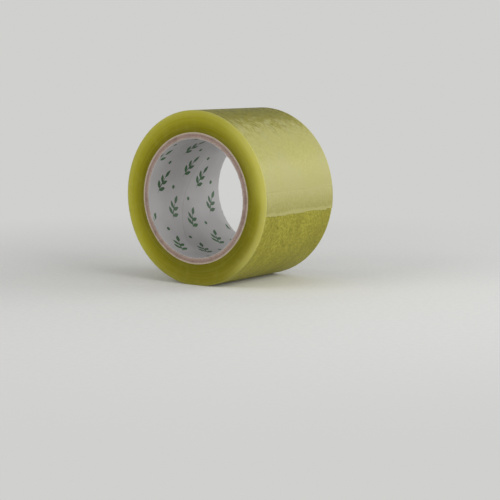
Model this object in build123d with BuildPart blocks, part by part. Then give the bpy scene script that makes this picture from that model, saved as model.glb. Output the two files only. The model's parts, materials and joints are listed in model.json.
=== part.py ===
"""Roll of clear packing tape on a spiral-wound paper core.

The roll lies on its rim. Its axis runs along Y, the floor is the plane Z = 0 and the front
end face looks towards -Y. The core is built as it is made: a printed liner, board
plies and an outer wrap, each one strip wound at the same lead, with its butt seam staggered
from the seam of the layer below. The tape is a plain wound body, its last turn and the free
end, which peels back about the line where it leaves the roll.
"""

import os
from math import atan, cos, degrees, pi, radians, sin

from build123d import *

# ---- driving dimensions, millimetres and degrees -------------------------------------------

tape_width = 75.0
tape_thickness = 0.05
roll_radius = 56.0

bore_radius = 38.0
liner_thickness = 0.2
board_thickness = 0.56
board_plies = 6
wrap_thickness = 0.2
glue_line = 0.03

strip_pitch = 120.0      # axial advance of a core strip in one turn
seam_gap = 0.3           # width of the butt seam, measured square to it
seam_stagger = 107.0     # angle from one layer's seam to the next
liner_seam_angle = 297.0  # where the liner's seam meets the front end

free_end_angle = -9.5    # cut edge of the tape, from +X towards +Z
free_end_length = 16.0   # length of tape that is loose
free_end_lift = 0.3      # how far the cut edge has sprung away from the roll
peel_clearance = 0.03    # air under the loose tape where it starts

flat_depth = 0.5         # how far the rim has settled where the roll lies on it
flat_corner_radius = 20.0

# ---- sizes that follow ---------------------------------------------------------------------

layer_names = ["core_liner"] + [f"core_ply_{n + 1}" for n in range(board_plies)] + ["core_wrap"]
layer_thicknesses = [liner_thickness] + [board_thickness] * board_plies + [wrap_thickness]
cut_margin = glue_line / 3  # how far a seam cut runs past the strip it parts
core_outer_radius = bore_radius + sum(layer_thicknesses) + glue_line * (len(layer_thicknesses) - 1)
winding_bore_radius = core_outer_radius + glue_line

axis_height = roll_radius - flat_depth
root_angle = free_end_angle + degrees(free_end_length / roll_radius)
peel_radius = roll_radius + peel_clearance  # distance of the peel line from the roll's axis
loose_radius = 1 / (1 / roll_radius - 2 * free_end_lift / free_end_length**2)

# Section plane through the middle of the roll: its x is +X and its y is +Z.
section = Plane(origin=(0, 0, axis_height), x_dir=(1, 0, 0), z_dir=(0, -1, 0))


def direction(angle):
    """Unit vector in the section at an angle from +X towards +Z."""
    return Vector(cos(radians(angle)), sin(radians(angle)))


# ---- the core: each layer is one strip wound to a tube, open along its helical butt seam ------

core_layers = []
layer_radius = bore_radius
seam_angle = liner_seam_angle
for layer_name, thickness in zip(layer_names, layer_thicknesses):
    middle_radius = layer_radius + thickness / 2
    lead = atan(strip_pitch / (2 * pi * middle_radius))
    front = section.offset(tape_width / 2 + cut_margin)
    cut_length = tape_width + 2 * cut_margin
    with BuildPart() as core_layer:
        with BuildSketch(section):
            Circle(layer_radius + thickness)
            Circle(layer_radius, mode=Mode.SUBTRACT)
        extrude(amount=tape_width / 2, both=True)
        with BuildSketch(front, mode=Mode.PRIVATE) as seam:
            with PolarLocations(middle_radius, 1, start_angle=seam_angle):
                Rectangle(thickness + 2 * cut_margin, seam_gap / sin(lead))
        seam_cut = Solid.extrude_linear_with_rotation(
            seam.sketch.faces()[0],
            center=front.origin,
            normal=(0, cut_length, 0),
            angle=360 * cut_length / strip_pitch,
        )
        add(seam_cut, mode=Mode.SUBTRACT)
    core_layer.part.label = layer_name
    core_layers.append(core_layer)
    layer_radius += thickness + glue_line
    seam_angle -= seam_stagger


# ---- the tape ------------------------------------------------------------------------------


def wound_outline(start_radius, floor_level):
    """Spiral of tangent quarter arcs that loses one tape thickness in a turn, flat on the floor."""
    next_quarter = 90 * (root_angle // 90 + 1)
    stops = [root_angle] + [next_quarter + 90 * n for n in range(4)] + [root_angle + 360]
    with BuildSketch() as outline:
        with BuildLine():
            centre = Vector(0, 0)
            radius = start_radius
            for start, end in zip(stops, stops[1:]):
                CenterArc(centre, radius, start, end - start)
                centre += direction(end) * tape_thickness / 4
                radius -= tape_thickness / 4
            root = direction(root_angle)
            Line(root * (start_radius - tape_thickness), root * start_radius)
        make_face()
        with Locations((0, floor_level)):
            above_floor = (Align.CENTER, Align.MIN)
            Rectangle(4 * start_radius, 4 * start_radius, align=above_floor, mode=Mode.INTERSECT)
        fillet(outline.vertices().group_by(Axis.Y)[0], flat_corner_radius)
    return outline.sketch


outer_outline = wound_outline(roll_radius, -axis_height)
inner_outline = wound_outline(roll_radius - tape_thickness, tape_thickness - axis_height)

# Wedge of the section under the loose tape, where the last turn lies bare.
with BuildSketch() as loose_wedge:
    with BuildLine():
        reach = 2 * roll_radius
        Polyline((0, 0), direction(free_end_angle) * reach, direction(root_angle) * reach, close=True)
    make_face()

with BuildPart() as tape_winding:
    with BuildSketch(section):
        add(outer_outline)
        add(loose_wedge.sketch, mode=Mode.INTERSECT)
        add(inner_outline)
        Circle(winding_bore_radius, mode=Mode.SUBTRACT)
    extrude(amount=tape_width / 2, both=True)
tape_winding.part.label = "tape_winding"

with BuildPart() as tape_outer_turn:
    with BuildSketch(section):
        add(outer_outline)
        add(inner_outline, mode=Mode.SUBTRACT)
        add(loose_wedge.sketch, mode=Mode.SUBTRACT)
    extrude(amount=tape_width / 2, both=True)
tape_outer_turn.part.label = "tape_outer_turn"

with BuildPart() as tape_free_end:
    with BuildSketch(section):
        with BuildLine():
            centre = direction(root_angle) * (peel_radius - loose_radius)
            turn = degrees(free_end_length / loose_radius)
            outside = CenterArc(centre, loose_radius, root_angle, -turn)
            inside = CenterArc(centre, loose_radius - tape_thickness, root_angle, -turn)
            Line(outside @ 0, inside @ 0)
            Line(outside @ 1, inside @ 1)
        make_face()
    extrude(amount=tape_width / 2, both=True)
tape_free_end.part.label = "tape_free_end"

# ---- export --------------------------------------------------------------------------------

peel_axis = direction(root_angle) * peel_radius + Vector(0, axis_height)
tape_length = pi * (roll_radius**2 - winding_bore_radius**2) / tape_thickness / 1000
print(f"peel axis at X {peel_axis.X:.4f}, Z {peel_axis.Y:.4f}")
print(f"core outer radius {core_outer_radius:.2f}, tape on the roll {tape_length:.1f} m")

os.makedirs("parts", exist_ok=True)
for layer in core_layers:
    export_step(layer.part, f"parts/{layer.part.label}.step")
export_step(tape_winding.part, "parts/tape_winding.step")
export_step(tape_outer_turn.part, "parts/tape_outer_turn.step")
export_step(tape_free_end.part, "parts/tape_free_end.step")
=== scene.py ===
"""A roll of clear packing tape on a spiral-wound paper core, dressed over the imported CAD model.

The roll lies on its rim: its axis runs along Y, and angles go round it from +X towards +Z.
Lengths are in metres, and MM turns millimetres into them.
"""

import json
import math

import bpy
import numpy as np
from mathutils import Matrix, Vector


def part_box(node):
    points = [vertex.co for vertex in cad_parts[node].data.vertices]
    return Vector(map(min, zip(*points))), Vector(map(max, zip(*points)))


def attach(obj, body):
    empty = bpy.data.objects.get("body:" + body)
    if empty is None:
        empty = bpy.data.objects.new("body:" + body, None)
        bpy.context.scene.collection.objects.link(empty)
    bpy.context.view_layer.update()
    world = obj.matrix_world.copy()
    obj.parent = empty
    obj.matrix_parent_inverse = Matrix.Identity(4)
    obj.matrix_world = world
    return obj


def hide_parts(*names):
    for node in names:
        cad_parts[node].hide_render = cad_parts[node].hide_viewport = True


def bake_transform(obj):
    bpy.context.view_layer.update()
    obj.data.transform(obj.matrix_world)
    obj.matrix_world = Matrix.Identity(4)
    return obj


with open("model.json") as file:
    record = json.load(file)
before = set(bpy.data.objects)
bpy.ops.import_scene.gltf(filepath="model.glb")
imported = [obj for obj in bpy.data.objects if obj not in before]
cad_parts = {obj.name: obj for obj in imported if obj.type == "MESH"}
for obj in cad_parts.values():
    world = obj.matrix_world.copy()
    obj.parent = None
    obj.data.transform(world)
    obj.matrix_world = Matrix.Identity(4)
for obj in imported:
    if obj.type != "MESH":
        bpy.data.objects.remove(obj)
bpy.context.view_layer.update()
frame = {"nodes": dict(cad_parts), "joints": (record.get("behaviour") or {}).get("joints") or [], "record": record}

MM = 0.001

# ---- sizes read from the frame ---------------------------------------------------------------

bore = next(mount for mount in frame["record"]["mounts"] if mount["name"] == "core_bore")
axis_height = bore["pos_m"][2]
bore_radius = bore["dims"]["r_mm"] * MM
half_width = bore["dims"]["length_mm"] * MM / 2
peel_line = frame["joints"][0]["pos_m"]
root_angle = math.atan2(peel_line[2] - axis_height, peel_line[0])
core_layers = [node for node in frame["nodes"] if node.startswith("core_")]


def outside_radius(node):
    """Outer radius of a CAD layer of the core."""
    low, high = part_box(node)
    return (high.z - low.z) / 2


core_layers.sort(key=outside_radius)
core_radius = outside_radius(core_layers[-1])

# ---- sizes too fine to read from it ----------------------------------------------------------

film = 0.05 * MM
glue_line = 0.03 * MM
peel_clearance = 0.03 * MM
free_lift = 0.3 * MM
free_length = 16 * MM
roll_radius = math.hypot(peel_line[0], peel_line[2] - axis_height) - peel_clearance
cut_angle = root_angle - free_length / roll_radius
winding_bore = core_radius + glue_line

strip_pitch = 120 * MM   # how far a core strip advances along the axis in one turn
seam_gap = 0.12 * MM     # less than in the CAD, because the edges of the real strips almost touch
seam_start = math.radians(297)  # where the liner's seam meets the front end
seam_stagger = math.radians(107)

edge_round = 0.5 * MM    # rounding of the roll's outer edges
underside_inset = 0.01 * MM  # how much narrower the film's underside is, at each edge
TURN = 2 * math.pi


# ---- mesh helpers ----------------------------------------------------------------------------


def add_mesh(name, points, faces, materials, face_materials=None, sharp=35):
    """A smooth-shaded piece. Its attribute place keeps where each point is when nothing moves."""
    points = np.asarray(points, float)
    mesh = bpy.data.meshes.new(name)
    mesh.from_pydata(points.tolist(), [], faces)
    place = mesh.attributes.new("place", "FLOAT_VECTOR", "POINT")
    place.data.foreach_set("vector", points.astype(np.float32).ravel())
    for material in materials:
        mesh.materials.append(material)
    if face_materials is not None:
        mesh.polygons.foreach_set("material_index", face_materials)
    mesh.polygons.foreach_set("use_smooth", [True] * len(mesh.polygons))
    mesh.set_sharp_from_angle(angle=math.radians(sharp))
    mesh.validate()
    piece = bpy.data.objects.new(name, mesh)
    bpy.context.scene.collection.objects.link(piece)
    return piece


def grid_faces(rows, columns, first=0, flip=False):
    """Quads over a rows by columns grid of points numbered row by row from first."""
    i, j = np.meshgrid(np.arange(rows - 1), np.arange(columns - 1), indexing="ij")
    a = first + i * columns + j
    quads = np.stack([a, a + 1, a + columns + 1, a + columns], -1).reshape(-1, 4)
    return (quads[:, ::-1] if flip else quads).tolist()


def border(rows, columns):
    """Numbers of the points round the border of a grid, in order."""
    numbers = np.arange(rows * columns).reshape(rows, columns)
    sides = [numbers[0], numbers[1:, -1], numbers[-1, -2::-1], numbers[-2:0:-1, 0]]
    return np.concatenate(sides)


def slab(outer, inner, between=()):
    """Points and faces of a closed sheet between two grids of the same shape. The grids given
    as between show only round its edge, so that the edge can be rough."""
    rows, columns = outer.shape[:2]
    size = rows * columns
    edge = border(rows, columns)
    faces = grid_faces(rows, columns) + grid_faces(rows, columns, size, flip=True)
    loops = [edge, *(2 * size + k * edge.size + np.arange(edge.size) for k in range(len(between)))]
    loops.append(size + edge)
    for upper, lower in zip(loops, loops[1:]):
        ahead = np.roll(upper, -1), np.roll(lower, -1)
        faces += np.stack([ahead[0], upper, lower, ahead[1]], -1).tolist()
    grids = [outer.reshape(-1, 3), inner.reshape(-1, 3)]
    return np.concatenate(grids + [grid.reshape(-1, 3)[edge] for grid in between]), faces


def waves(rng, position, lengths, depth):
    """Smooth noise of one or more coordinates, from 0 to about depth: cosines of set wavelengths.
    position is a tuple of arrays, and lengths gives one wavelength for each of them."""
    total = 0
    count = 12
    for _ in range(count):
        phase = rng.uniform(0, TURN)
        for along, length in zip(position, lengths):
            phase = phase + along * TURN / length * rng.normal()
        total = total + np.cos(phase)
    return depth * (0.5 + 0.5 * np.tanh(total / math.sqrt(count)))


def ripples(rng, angle, orders, depth):
    """Smooth noise round the axis, from 0 to about depth. It closes on itself after a turn."""
    total = sum(np.cos(n * angle + rng.uniform(0, TURN)) for n in orders)
    return depth * (0.5 + 0.5 * np.tanh(total / math.sqrt(len(orders))))


def around(angle, radius, y):
    """Points at an angle and a radius from the axis. The roll is settled on the floor: what
    would lie below it is pressed up, less and less towards the core."""
    angle, radius, y = np.broadcast_arrays(angle, radius, y)
    outermost = axis_height + roll_radius * np.sin(angle)
    softness = 0.05 * MM
    pressed = (outermost + np.sqrt(outermost**2 + softness**2)) / 2 - outermost
    share = np.clip((radius - winding_bore) / (roll_radius - winding_bore), 0, 1)
    z = axis_height + radius * np.sin(angle) + pressed * share
    return np.stack([radius * np.cos(angle), y, z], -1)


# ---- material helpers ------------------------------------------------------------------------


def srgb(red, green, blue):
    """Linear colour of a shade given in the usual 0 to 255 steps."""
    steps = [channel / 255 for channel in (red, green, blue)]
    linear = [s / 12.92 if s <= 0.04045 else ((s + 0.055) / 1.055) ** 2.4 for s in steps]
    return (*linear, 1.0)


class Shader:
    """A node material in short calls. Numbers and colours go straight on sockets."""

    def __init__(self, name):
        self.material = bpy.data.materials.new(name)
        self.material.use_nodes = True
        self.tree = self.material.node_tree
        self.surface = self.tree.nodes["Principled BSDF"]

    def node(self, kind, inputs=(), **settings):
        made = self.tree.nodes.new("ShaderNode" + kind)
        for key, value in settings.items():
            setattr(made, key, value)
        for key, value in dict(inputs).items():
            self.plug(made.inputs[key], value)
        return made

    def plug(self, socket, value):
        if isinstance(value, bpy.types.NodeSocket):
            self.tree.links.new(value, socket)
        else:
            socket.default_value = value

    def set(self, **values):
        for key, value in values.items():
            socket = key.replace("_", " ").title().replace("Ior", "IOR")
            self.plug(self.surface.inputs[socket], value)

    def math(self, operation, a, b=0.0):
        return self.node("Math", {0: a, 1: b}, operation=operation).outputs[0]

    def vector(self, x, y, z):
        return self.node("CombineXYZ", {0: x, 1: y, 2: z}).outputs[0]

    def noise(self, vector, scale, detail=2.0, roughness=0.5):
        """Noise from 0 to 1. Where vector is a place, scale is the number of cells in a metre."""
        inputs = {"Vector": vector, "Scale": scale, "Detail": detail, "Roughness": roughness}
        return self.node("TexNoise", inputs).outputs[0]

    def step(self, value, low, high, bottom=0.0, top=1.0):
        """Smooth step of value from bottom at low to top at high."""
        inputs = {"Value": value, "From Min": low, "From Max": high}
        inputs |= {"To Min": bottom, "To Max": top}
        return self.node("MapRange", inputs, interpolation_type="SMOOTHSTEP").outputs[0]

    def mix(self, factor, a, b):
        """Colour between a, at factor 0, and b, at factor 1."""
        made = self.node("Mix", data_type="RGBA")
        for index, value in zip((0, 6, 7), (factor, a, b)):
            self.plug(made.inputs[index], value)
        return made.outputs[2]

    def mix_value(self, factor, a, b):
        """Number between a, at factor 0, and b, at factor 1."""
        return self.node("Mix", {0: factor, 2: a, 3: b}, data_type="FLOAT").outputs[0]

    def ramp(self, value, stops):
        """Colour along value, from a list of (position, colour)."""
        made = self.node("ValToRGB", {0: value})
        line = made.color_ramp
        line.interpolation = "EASE"
        while len(line.elements) < len(stops):
            line.elements.new(0.5)
        for element, (position, colour) in zip(line.elements, stops):
            element.position = position
            element.color = colour
        return made.outputs[0]

    def bump(self, height, depth, strength):
        inputs = {"Strength": strength, "Distance": depth, "Height": height}
        self.plug(self.surface.inputs["Normal"], self.node("Bump", inputs).outputs[0])

    def place(self):
        """Where a point is at rest: from the axis along X, along Y, and from the axis up."""
        place = self.node("Attribute", attribute_name="place").outputs["Vector"]
        x, y, z = self.node("SeparateXYZ", {0: place}).outputs
        return x, y, self.math("SUBTRACT", z, axis_height)

    def distance(self, a, b):
        """Length of the vector whose two parts are a and b."""
        square = self.math("ADD", self.math("MULTIPLY", a, a), self.math("MULTIPLY", b, b))
        return self.math("SQRT", square)

    def polar(self):
        """Distance from the axis, and the two parts of the direction from it."""
        x, _, up = self.place()
        radius = self.distance(x, up)
        return radius, self.math("DIVIDE", x, radius), self.math("DIVIDE", up, radius)


# ---- materials -------------------------------------------------------------------------------

sheen_band_end = math.radians(57)  # the painted sheen of the side lamp reaches up to here
sheen_band_softness = 0.20         # radians over which it fades there, each way
peel_edge = 0.001            # radians over which it ends at the peel line


def film_colour(shader):
    """The tape's colour where it is clear and where it is pale, the share of the pale one, and
    a fine grain. The pale colour is a painted sheen of the side lamp, from the peel line up to
    the sheen's end, and it is dimmer towards the peel line. Elsewhere the turns below show
    through the film, finely mottled; on top of the roll it is painted darker as shade, with
    dark dashes that run along the tape."""
    x, y, up = shader.place()
    even = shader.vector(x, y, up)
    long_x, long_up = shader.math("MULTIPLY", x, 0.3), shader.math("MULTIPLY", up, 0.3)
    along_tape = shader.vector(long_x, y, long_up)
    angle = shader.math("ARCTAN2", up, x)
    grain = shader.noise(even, 600, detail=3, roughness=0.5)
    spots = shader.noise(even, 260, detail=2)
    dashes = shader.noise(along_tape, 1000, detail=3, roughness=0.6)
    mottled = shader.step(grain, 0.26, 0.74)
    patches = shader.noise(along_tape, 90, detail=3)
    clear = shader.mix(mottled, srgb(124, 119, 28), srgb(158, 153, 56))
    clear = shader.mix(shader.step(patches, 0.40, 0.66, 0, 0.35), clear, srgb(112, 107, 26))
    clear = shader.mix(shader.step(spots, 0.69, 0.74, 0, 0.6), clear, srgb(92, 87, 20))
    # painted shade: on top of the roll the film is painted darker, with dark dashes along the tape
    top_dashes_and_painted_shade = shader.mix(shader.step(dashes, 0.34, 0.52), srgb(62, 58, 8), srgb(132, 127, 38))
    rise = shader.step(angle, math.radians(30), math.radians(82))
    near = shader.step(x, -32 * MM, -8 * MM)
    clear = shader.mix(shader.math("MULTIPLY", rise, near), clear, top_dashes_and_painted_shade)
    # painted sheen: the pale band where the side lamp reflects, from the peel line up to its end
    pale = shader.mix(mottled, srgb(168, 163, 92), srgb(178, 174, 106))
    pale = shader.mix(shader.step(dashes, 0.50, 0.72, 0, 0.25), pale, srgb(188, 184, 108))
    pale = shader.mix(shader.step(patches, 0.42, 0.66, 0, 0.5), pale, srgb(172, 169, 116))
    # the painted sheen is dimmer towards the peel line
    sheen_fade = shader.step(angle, math.radians(26), root_angle, 0, 0.75)
    pale = shader.mix(sheen_fade, pale, srgb(156, 151, 84))
    uneven = shader.noise(even, 200, detail=4, roughness=0.6)
    edge = shader.math("ADD", angle, shader.step(uneven, 0.3, 0.7, -0.09, 0.09))
    edge = shader.math("ADD", edge, shader.step(dashes, 0.3, 0.7, -0.16, 0.16))
    below = shader.step(edge, sheen_band_end + sheen_band_softness, sheen_band_end - sheen_band_softness)
    above = shader.step(angle, root_angle - peel_edge, root_angle)
    return clear, pale, shader.math("MULTIPLY", below, above), grain


def pale_rim(shader, colour):
    """Pales the colour towards the roll's rounded edges, where light comes through the film."""
    out = shader.math("ABSOLUTE", shader.place()[1])
    share = shader.step(out, half_width - 2.2 * MM, half_width, 0, 0.4)
    return shader.mix(share, colour, srgb(182, 177, 100))


def film_material(name):
    """The tape's face, on the outside of the roll: glossier where the painted sheen lies."""
    shader = Shader(name)
    clear, pale, sheen_band, grain = film_colour(shader)
    glossy = shader.step(grain, 0.3, 0.7, 0.28, 0.38)
    rough = shader.step(grain, 0.3, 0.7, 0.50, 0.60)
    shader.set(base_color=pale_rim(shader, shader.mix(sheen_band, clear, pale)))
    shader.set(roughness=shader.mix_value(sheen_band, rough, glossy), specular_ior_level=0.2)
    shader.bump(grain, 0.02 * MM, 0.12)
    return shader.material


def loose_material(name):
    """The loose end: a single film, half clear, milky, with a painted sheen that grows towards the
    peel line, and palest along the cut edge that has sprung up.
    """
    shader = Shader(name)
    x, y, up = shader.place()
    even = shader.vector(x, y, up)
    angle = shader.math("ARCTAN2", up, x)
    grain = shader.noise(even, 760, detail=3, roughness=0.5)
    # painted sheen: the milky film is painted paler towards the peel line, carrying on the sheen of the last turn
    sheen_spread = shader.step(angle, cut_angle, root_angle)
    milky_and_sheen = shader.mix(sheen_spread, srgb(170, 165, 90), srgb(190, 185, 112))
    milky_and_sheen = shader.mix(shader.step(grain, 0.36, 0.64, 0, 0.2), milky_and_sheen, srgb(214, 210, 156))
    wobble = shader.noise(even, 110, detail=3)
    edge = shader.math("SUBTRACT", angle, shader.step(wobble, 0.3, 0.7, 0, 0.022))
    sprung = shader.step(edge, cut_angle + 0.052, cut_angle + 0.022, 0, 0.7)
    colour = shader.mix(sprung, milky_and_sheen, srgb(196, 191, 124))
    shader.set(base_color=pale_rim(shader, colour), alpha=0.55, specular_ior_level=0.25)
    shader.set(roughness=shader.step(grain, 0.3, 0.7, 0.28, 0.38))
    shader.bump(grain, 0.02 * MM, 0.12)
    return shader.material


def edges_material(name, glow):
    """The ends of the roll, where the edges of all the turns lie side by side: deep and dark
    by the core and paler towards the rim, with faint rings and smears. Painted shade darkens them
    towards the bottom, and painted light pales the +X side and its rim. Glow is the share of light
    that spreads below the surface."""
    shader = Shader(name)
    radius, across, upward = shader.polar()
    limits = {0: radius, 1: winding_bore, 2: roll_radius}
    colour = shader.ramp(
        shader.node("MapRange", limits).outputs[0],
        [
            (0.00, srgb(112, 104, 24)),
            (0.08, srgb(110, 103, 6)),
            (0.32, srgb(130, 124, 14)),
            (0.60, srgb(152, 146, 32)),
            (0.82, srgb(168, 162, 56)),
            (0.94, srgb(178, 173, 74)),
            (1.00, srgb(184, 179, 96)),
        ],
    )
    # painted shade: the ends are painted darker towards the bottom
    painted_shade_below = shader.math("SUBTRACT", shader.math("MULTIPLY", across, 0.35), upward)
    colour = shader.mix(shader.step(painted_shade_below, 0.2, 1.05, 0, 0.75), colour, srgb(106, 100, 8))
    # painted light: the ends are painted paler on the +X side, away from the shade and the core
    painted_light_side = shader.math("MULTIPLY", shader.step(across, 0.1, 1.0), shader.step(painted_shade_below, 0.5, 0.2))
    painted_light_side = shader.math("MULTIPLY", painted_light_side, shader.step(radius, winding_bore, roll_radius - 2 * MM))
    colour = shader.mix(shader.math("MULTIPLY", painted_light_side, 0.45), colour, srgb(202, 196, 92))
    # painted light: a pale glow towards the rim on the +X side
    painted_rim_glow = shader.step(radius, roll_radius - 7 * MM, roll_radius - 0.5 * MM, 0, 0.5)
    painted_rim_glow = shader.math("MULTIPLY", painted_rim_glow, shader.step(across, 0.35, 0.9))
    colour = shader.mix(painted_rim_glow, colour, srgb(226, 219, 122))
    ring_way = shader.vector(across, upward, shader.math("MULTIPLY", radius, 1400))
    rings = shader.noise(ring_way, 1, detail=3, roughness=0.65)
    fan_x, fan_up = shader.math("MULTIPLY", across, 45), shader.math("MULTIPLY", upward, 45)
    smear_way = shader.vector(fan_x, fan_up, shader.math("MULTIPLY", radius, 700))
    smears = shader.noise(smear_way, 0.25, detail=3)
    speck_way = shader.vector(fan_x, fan_up, shader.math("MULTIPLY", radius, 900))
    specks = shader.noise(speck_way, 3)
    colour = shader.mix(shader.step(rings, 0.35, 0.65, 0, 0.10), colour, srgb(196, 192, 110))
    colour = shader.mix(shader.step(smears, 0.48, 0.72, 0, 0.07), colour, srgb(188, 184, 100))
    colour = shader.mix(shader.step(specks, 0.76, 0.80, 0, 0.35), colour, srgb(214, 210, 160))
    shader.set(base_color=colour, roughness=0.6, specular_ior_level=0.04)
    shader.set(subsurface_weight=glow, subsurface_radius=(1.0, 0.9, 0.25), subsurface_scale=4 * MM)
    shader.bump(rings, 0.03 * MM, 0.25)
    return shader.material


def board_material(name, shade):
    """Cut end and faces of a ply of grey-beige core board: cloudy, with fibres that stand out."""
    shader = Shader(name)
    x, y, up = shader.place()
    fibres = shader.noise(shader.vector(x, y, up), 1600, detail=4, roughness=0.7)
    clouds = shader.noise(shader.vector(x, y, up), 180, detail=2)
    light, dark, darkest = (srgb(*(c + change for c in shade)) for change in (14, -22, -34))
    colour = shader.mix(shader.step(fibres, 0.34, 0.62), dark, light)
    colour = shader.mix(shader.step(clouds, 0.50, 0.70, 0, 0.5), colour, darkest)
    shader.set(base_color=colour, roughness=0.85, specular_ior_level=0.2)
    shader.bump(fibres, 0.06 * MM, 0.6)
    return shader.material


def paper_material(name, light, dark, depth):
    """Smooth paper with a faint cloudy tone, between two shades. Depth is that of its fibres."""
    shader = Shader(name)
    x, y, up = shader.place()
    clouds = shader.noise(shader.vector(x, y, up), 60, detail=3)
    fibres = shader.noise(shader.vector(x, y, up), 2200, detail=2)
    colour = shader.mix(shader.step(clouds, 0.3, 0.7), srgb(*dark), srgb(*light))
    shader.set(base_color=colour, roughness=shader.step(fibres, 0.3, 0.7, 0.45, 0.6))
    shader.bump(fibres, depth, 0.5)
    return shader.material


tape_face = film_material("tape_face")
tape_edges = edges_material("tape_edges", glow=0.6)
film_edge = edges_material("film_edge", glow=0.0)
loose_tape = loose_material("loose_tape")
liner_paper = paper_material("liner_paper", (186, 184, 184), (177, 175, 175), 0.02 * MM)
wrap_paper = paper_material("wrap_paper", (208, 195, 170), (190, 176, 150), 0.05 * MM)
ink = paper_material("green_ink", (46, 96, 44), (28, 70, 30), 0.01 * MM)

# ---- the core: strips wound to tubes, each open along its seam -----------------------------------


def torn_edge(rng, angle, radius):
    """How far the cut end of a strip lies back: fine tears all round and a few deeper nicks."""
    torn = ripples(rng, angle, rng.integers(30, 240, 24), 0.08 * MM)
    nicks = 9
    for _ in range(nicks):
        away = (angle - rng.uniform(0, TURN) + math.pi) % TURN - math.pi
        width, depth = rng.uniform(0.3, 1.0) * MM, rng.uniform(0.05, 0.3) * MM
        torn = torn + depth * np.exp(-((away * radius / width) ** 2))
    return torn


def crushed(angle, radius, near_end):
    """Radius of a point of the core. Next to the ends its inner edge is pressed in unevenly."""
    rng = np.random.default_rng(77)
    depth = ripples(rng, angle, rng.integers(24, 90, 16), 0.22 * MM) - 0.08 * MM
    share = (core_radius - radius) / (core_radius - bore_radius)
    return radius - depth * share * near_end**2


def core_strip(name, node, index, inner, outer, material, rows):
    """One layer of the core, wound to a tube from the seam round to itself, with slightly torn
    ends. Rows is the number of rings of points along its smooth middle."""
    rng = np.random.default_rng(100 + index)
    margins = np.array([0, 0.12, 0.35, 0.8, 1.6]) * MM
    torn_length = margins[-1]
    smooth_from = 3 * MM
    middle = np.linspace(-half_width + smooth_from, half_width - smooth_from, rows)
    y = np.concatenate([-half_width + margins, middle, half_width - margins[::-1]])
    near_front = np.clip(1 - (y + half_width) / torn_length, 0, 1)
    near_back = np.clip(1 - (half_width - y) / torn_length, 0, 1)
    lead = math.atan(strip_pitch / (TURN * (inner + outer) / 2))
    gap = seam_gap / math.sin(lead) / inner
    start = seam_start - index * seam_stagger - TURN * (y + half_width) / strip_pitch
    steps_round = 241
    angle = start + gap / 2 + np.linspace(0, 1, steps_round)[:, None] * (TURN - gap)
    grids = []
    for depth in (0, 0.33, 0.67, 1):
        radius = outer + depth * (inner - outer)
        front, back = torn_edge(rng, angle, radius), torn_edge(rng, angle, radius)
        worn = crushed(angle, radius, near_front + near_back)
        grids.append(around(angle, worn, y + front * near_front - back * near_back))
    points, faces = slab(grids[0], grids[3], between=grids[1:3])
    piece = add_mesh(name, points, faces, [material])
    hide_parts(node)
    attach(piece, "roll")


strip_rows = 47
liner_rows = 139  # many, because the print is only 0.02 mm thick and mustn't sink into the liner

board_shades = [
    (170, 151, 140),
    (162, 142, 131),
    (154, 132, 122),
    (146, 123, 114),
    (158, 138, 127),
    (182, 167, 149),
]
inner = bore_radius
for index, node in enumerate(core_layers):
    outer = outside_radius(node)
    rows = strip_rows
    if node == "core_liner":
        material, slot, rows = liner_paper, "liner_paper", liner_rows
    elif node == "core_wrap":
        material, slot = wrap_paper, "wrap_paper"
    else:
        material, slot = board_material(f"board_{index}", board_shades[index - 1]), "core_board"
    core_strip(node.replace("core_", "spiral_"), node, index, inner, outer, material, rows)
    inner = outer + glue_line

# ---- the print inside the core -------------------------------------------------------------------

# One motif, in millimetres along and across the strip: a stem, leaves and a dot, each as (along,
# across, degrees turned, length, width).
sprig = [
    (0.0, 0.0, 4, 13.0, 0.9),
    (2.0, 0.2, 52, 6.2, 2.7),
    (3.2, 0.2, -44, 6.4, 2.7),
    (6.6, 0.4, 46, 5.8, 2.5),
    (7.6, 0.4, -40, 6.0, 2.5),
    (11.4, 0.8, 6, 6.4, 2.8),
    (20.0, -5.0, 0, 2.6, 2.6),
]
sprig_spacing = 31 * MM
sprig_rows = 6
sprigs_in_row = 19
print_margin = 0.4 * MM
ink_depth = 0.02 * MM  # how far the print stands out from the liner, and how far it reaches in
print_lead = math.atan(strip_pitch / (TURN * bore_radius))


def leaf(along, across, turned, length, width):
    """Grid of points of a flat leaf in the strip's plane, or of a dot if it is as wide as long."""
    share = np.linspace(0, 1, 13)[:, None]
    if width == length:
        swell = np.sqrt(np.clip(1 - (2 * share - 1) ** 2, 0, 1))
    else:
        swell = np.sin(math.pi * share)
    blunt_tip = 0.04
    half = np.maximum(swell * width / 2, blunt_tip) * np.linspace(-1, 1, 3)
    c, s = math.cos(math.radians(turned)), math.sin(math.radians(turned))
    return along + share * length * c - half * s, across + share * length * s + half * c


def sprig_places():
    """Where each sprig begins on the strip, along and across it: rows, each one set further on."""
    strip_width = TURN * bore_radius * math.sin(print_lead)
    first = -(sprigs_in_row // 2)
    for row in range(sprig_rows):
        across = (row + 0.5) * strip_width / sprig_rows
        for step in range(first, first + sprigs_in_row):
            yield (step + row % 2 / 2 + row * 0.13) * sprig_spacing, across


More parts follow.
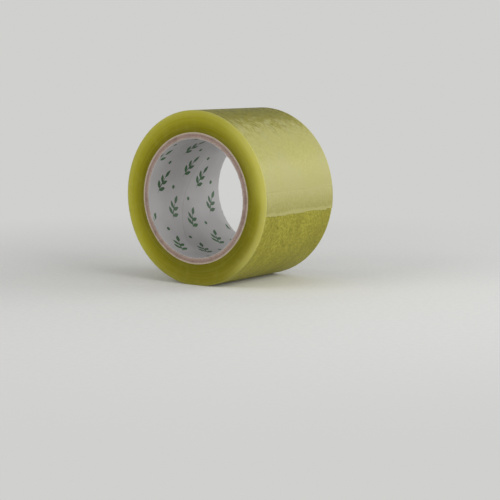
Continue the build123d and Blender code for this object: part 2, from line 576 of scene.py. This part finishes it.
def print_sprigs():
    """Small green sprigs printed in rows along the liner's strip, as far as they fit on it."""
    points, faces = [], []
    count = 0
    for begin, middle in sprig_places():
        for shape in sprig:
            along, across = (MM * part for part in leaf(*shape))
            along, across = along + begin, across + middle
            y = along * math.sin(print_lead) + across * math.cos(print_lead)
            if y.min() < print_margin or y.max() > 2 * half_width - print_margin:
                continue
            arc = across * math.sin(print_lead) - along * math.cos(print_lead)
            angle = seam_start + arc / bore_radius
            front = around(angle, bore_radius - ink_depth, y - half_width)
            behind = around(angle, bore_radius + ink_depth, y - half_width)
            more, quads = slab(front, behind)
            points.append(more)
            faces += [[corner + count for corner in quad] for quad in quads]
            count += len(more)
    piece = add_mesh("liner_print", np.concatenate(points), faces, [ink])
    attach(piece, "roll")


print_sprigs()

# ---- the tape ------------------------------------------------------------------------------------


def slackness(angle, y):
    """How far the last turn dips below a true cylinder: long shallow waves along the tape."""
    rng = np.random.default_rng(11)
    depth = 0.03 * MM
    round_roll = ripples(rng, angle, [3, 5, 8, 13], depth)
    return round_roll + waves(rng, (angle, y), (0.6, 14 * MM), depth)


def edge_drop(y, half):
    """How far the surface falls away over the rounding of the roll's edge."""
    past = np.clip(np.abs(y) - (half - edge_round), 0, edge_round)
    return edge_round - np.sqrt(edge_round**2 - past**2)


def across_width(rows):
    """Places across the tape, close together over the rounded edges."""
    steps_over_edge = 7
    over = np.linspace(0, math.pi / 2, steps_over_edge)
    corner = half_width - edge_round * (1 - np.sin(over))
    return np.concatenate([-corner[::-1], np.linspace(-corner[0], corner[0], rows)[1:-1], corner])


def over_edge(points, faces):
    """Material of each face of a film: 1 round its edges, 0 for the rest."""
    out = np.abs(points[np.array(faces)][:, :, 1]).mean(axis=1)
    return (out > half_width - edge_round / 2).astype(int)


def telescoping(radius, angle):
    """How far the edges of the turns lie back from the end of the roll."""
    rng = np.random.default_rng(5)
    wide = waves(rng, (radius,), (1.6 * MM,), 0.05 * MM)
    fine = waves(rng, (radius,), (0.5 * MM,), 0.02 * MM)
    return wide + fine + ripples(rng, angle, [1, 2, 3, 5], 0.03 * MM)


def wound_body():
    """All the turns below the last one, as one body with a rounded rim and finely stepped ends."""
    steps_round, steps_across, steps_in, steps_through = 540, 40, 55, 6
    inset = 0.02 * MM  # how far its ends lie behind the edges of the last turn
    narrowed = 1 - inset / half_width
    rim = roll_radius - 2.4 * film
    y_rim = across_width(steps_across) * narrowed
    y_end = np.full(steps_in, half_width - inset)
    y_bore = np.linspace(-1, 1, steps_through + 2)[1:-1] * (half_width - 0.2 * MM)
    end_radii = np.linspace(rim - edge_round, winding_bore, steps_in + 1)[1:]
    rim_radii = np.full(y_rim.size, rim)
    bore_radii = np.full(steps_through, winding_bore)
    radius = np.concatenate([rim_radii, end_radii, bore_radii, end_radii[::-1]])
    y = np.concatenate([y_rim, y_end, y_bore[::-1], -y_end])
    turned = np.linspace(0, TURN, steps_round, endpoint=False)
    angle, radius = np.meshgrid(root_angle + turned, radius, indexing="ij")
    y = np.broadcast_to(y, radius.shape).copy()
    on_rim = np.zeros(radius.shape, bool)
    on_rim[:, : y_rim.size] = True
    drop = edge_drop(y, half_width * narrowed) + slackness(angle, y)
    radius = np.where(on_rim, radius - drop, radius)
    on_end = np.abs(y) > half_width - 0.1 * MM
    fade = np.clip((rim - edge_round - radius) / (0.5 * MM), 0, 1)
    stepped = np.sign(y) * (np.abs(y) - telescoping(radius, angle) * fade)
    y = np.where(on_end & ~on_rim, stepped, y)
    points = around(angle, radius, y).reshape(-1, 3)
    rows, columns = angle.shape
    i, j = np.meshgrid(np.arange(rows), np.arange(columns), indexing="ij")
    a, b = i * columns + j, i * columns + (j + 1) % columns
    c, d = (i + 1) % rows * columns + (j + 1) % columns, (i + 1) % rows * columns + j
    faces = np.stack([a, b, c, d], -1).reshape(-1, 4)
    face_materials = np.where(j < y_rim.size - 1, 0, 1).ravel()
    materials = [tape_face, tape_edges]
    piece = add_mesh("wound_tape", points, faces.tolist(), materials, face_materials, sharp=60)
    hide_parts("tape_winding")
    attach(piece, "roll")


film_steps_across = 64
underside_share = 1 - underside_inset / half_width


def last_turn():
    """The last turn of tape, one film thick, from the peel line round to itself."""
    steps_round = 541
    turned = np.linspace(0, TURN, steps_round)[:, None]
    y = across_width(film_steps_across)[None, :]
    angle = root_angle + turned
    radius = roll_radius - film * turned / TURN - slackness(angle, y)
    outer = around(angle, radius - edge_drop(y, half_width), y)
    inner = around(angle, radius - film - edge_drop(y, half_width), y * underside_share)
    points, faces = slab(outer, inner)
    materials = [tape_face, film_edge]
    piece = add_mesh("last_turn", points, faces, materials, over_edge(points, faces), sharp=60)
    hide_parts("tape_outer_turn")
    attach(piece, "roll")


def free_end():
    """The loose end of the tape, which has sprung away from the roll and bends up from the peel
    line. Its cut edge is uneven."""
    steps_along = 49
    along = np.linspace(0, 1, steps_along)[:, None]
    y = across_width(film_steps_across)[None, :]
    rng = np.random.default_rng(23)
    cut = waves(rng, (y,), (12 * MM,), 0.8 * MM) + waves(rng, (y,), (3 * MM,), 0.4 * MM)
    distance = along * (free_length - cut * along)
    angle = root_angle - distance / roll_radius
    lift = free_lift * (0.8 + waves(rng, (y,), (40 * MM,), 0.2)) * along**2
    lift = lift + peel_clearance * np.clip(distance / (2 * MM), 0, 1)
    radius = roll_radius - slackness(angle, y) * (1 - along) - edge_drop(y, half_width) + lift
    outer = around(angle, radius, y)[::-1]
    inner = around(angle, radius - film, y * underside_share)[::-1]
    points, faces = slab(outer, inner)
    materials = [loose_tape, film_edge]
    piece = add_mesh("free_end", points, faces, materials, over_edge(points, faces), sharp=60)
    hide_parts("tape_free_end")
    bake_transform(piece)


wound_body()
last_turn()
free_end()

# ---- stage ---------------------------------------------------------------------------------------

background = srgb(208, 208, 206)


def make_floor():
    """A wide pale floor that runs into the background."""
    sides, rings = 128, 12
    reach = 6.0
    rims = [reach * (ring / rings) ** 2 for ring in range(1, rings + 1)]
    turns = np.linspace(0, TURN, sides, endpoint=False)
    points = [(0, 0, 0)] + [(r * math.cos(t), r * math.sin(t), 0) for r in rims for t in turns]
    faces = [(0, 1 + k, 1 + (k + 1) % sides) for k in range(sides)]
    for ring in range(rings - 1):
        near, far = 1 + ring * sides, 1 + (ring + 1) * sides
        for k in range(sides):
            faces.append((near + k, far + k, far + (k + 1) % sides, near + (k + 1) % sides))
    shader = Shader("floor_paper")
    spot = shader.node("TexCoord").outputs["Object"]
    grain = shader.noise(spot, 300, detail=3)
    colour = shader.mix(shader.step(grain, 0.3, 0.7), srgb(238, 238, 236), srgb(242, 242, 240))
    shader.set(base_color=colour, roughness=0.7, specular_ior_level=0.1)
    x, y, _ = shader.node("SeparateXYZ", {0: spot}).outputs
    far_away = shader.step(shader.distance(x, y), 0.10, 0.45)
    glow = shader.node("Emission", {"Color": background, "Strength": 1.0})
    both = shader.node("MixShader", {0: far_away, 1: shader.surface.outputs[0], 2: glow.outputs[0]})
    shader.tree.links.new(both.outputs[0], shader.tree.nodes["Material Output"].inputs["Surface"])
    floor = add_mesh("floor", points, faces, [shader.material])


def make_world():
    """Even light all round. The camera, reflections and see-through film meet the background."""
    world = bpy.data.worlds.new("studio")
    bpy.context.scene.world = world
    world.use_nodes = True
    nodes, links = world.node_tree.nodes, world.node_tree.links
    light = nodes["Background"]
    light.inputs["Color"].default_value = (1, 1, 1, 1)
    light.inputs["Strength"].default_value = 0.36
    seen = nodes.new("ShaderNodeBackground")
    seen.inputs["Color"].default_value = background
    ray = nodes.new("ShaderNodeLightPath")
    shown = nodes.new("ShaderNodeMath")
    shown.operation = "MAXIMUM"
    links.new(ray.outputs["Is Camera Ray"], shown.inputs[0])
    glossy = nodes.new("ShaderNodeMath")
    glossy.operation = "MAXIMUM"
    links.new(ray.outputs["Is Glossy Ray"], glossy.inputs[0])
    links.new(ray.outputs["Is Transmission Ray"], glossy.inputs[1])
    links.new(glossy.outputs[0], shown.inputs[1])
    both = nodes.new("ShaderNodeMixShader")
    links.new(shown.outputs[0], both.inputs[0])
    links.new(light.outputs[0], both.inputs[1])
    links.new(seen.outputs[0], both.inputs[2])
    links.new(both.outputs[0], nodes["World Output"].inputs["Surface"])


def softbox(name, toward, distance, size, radiance):
    """A rectangular lamp that faces the roll, in a direction from it. Its size is (width, height),
    and its power follows from its size and its radiance."""
    lamp = bpy.data.lights.new(name, "AREA")
    lamp.shape = "RECTANGLE"
    lamp.size, lamp.size_y = size
    lamp.energy = radiance * math.pi * size[0] * size[1]
    holder = bpy.data.objects.new(name, lamp)
    direction = Vector(toward).normalized()
    holder.location = Vector((0, 0, axis_height)) + direction * distance
    holder.rotation_mode = "QUATERNION"
    holder.rotation_quaternion = (-direction).to_track_quat("-Z", "Y")
    bpy.context.scene.collection.objects.link(holder)


make_floor()
make_world()
softbox("side_lamp", (1.0, -0.15, 0.36), 1.1, (0.7, 0.8), 3.0)
softbox("rear_lamp", (0.78, 0.62, 0.25), 1.0, (0.7, 0.6), 3.0)
softbox("front_lamp", (-0.45, -1.0, 0.40), 1.3, (0.9, 0.9), 2.4)

# ---- camera --------------------------------------------------------------------------------------

camera_azimuth = math.radians(36.107)
camera_elevation = math.radians(7.180)
camera_distance = 954.95 * MM
roll_right, roll_up = -13.14 * MM, 36.38 * MM  # where the roll's centre lies in the view

back = Vector(
    (
        math.sin(camera_azimuth) * math.cos(camera_elevation),
        -math.cos(camera_azimuth) * math.cos(camera_elevation),
        math.sin(camera_elevation),
    )
)
right = Vector((math.cos(camera_azimuth), math.sin(camera_azimuth), 0))
up = back.cross(right)
lens = bpy.data.cameras.new("camera")
lens.lens = 105
lens.sensor_width = 36
camera = bpy.data.objects.new("camera", lens)
facing = Matrix((right, up, back)).transposed().to_4x4()
centre = Vector((0, 0, axis_height))
eye = centre + back * camera_distance - right * roll_right - up * roll_up
camera.matrix_world = Matrix.Translation(eye) @ facing
bpy.context.scene.collection.objects.link(camera)
bpy.context.scene.camera = camera
bpy.context.scene.view_settings.view_transform = "Standard"
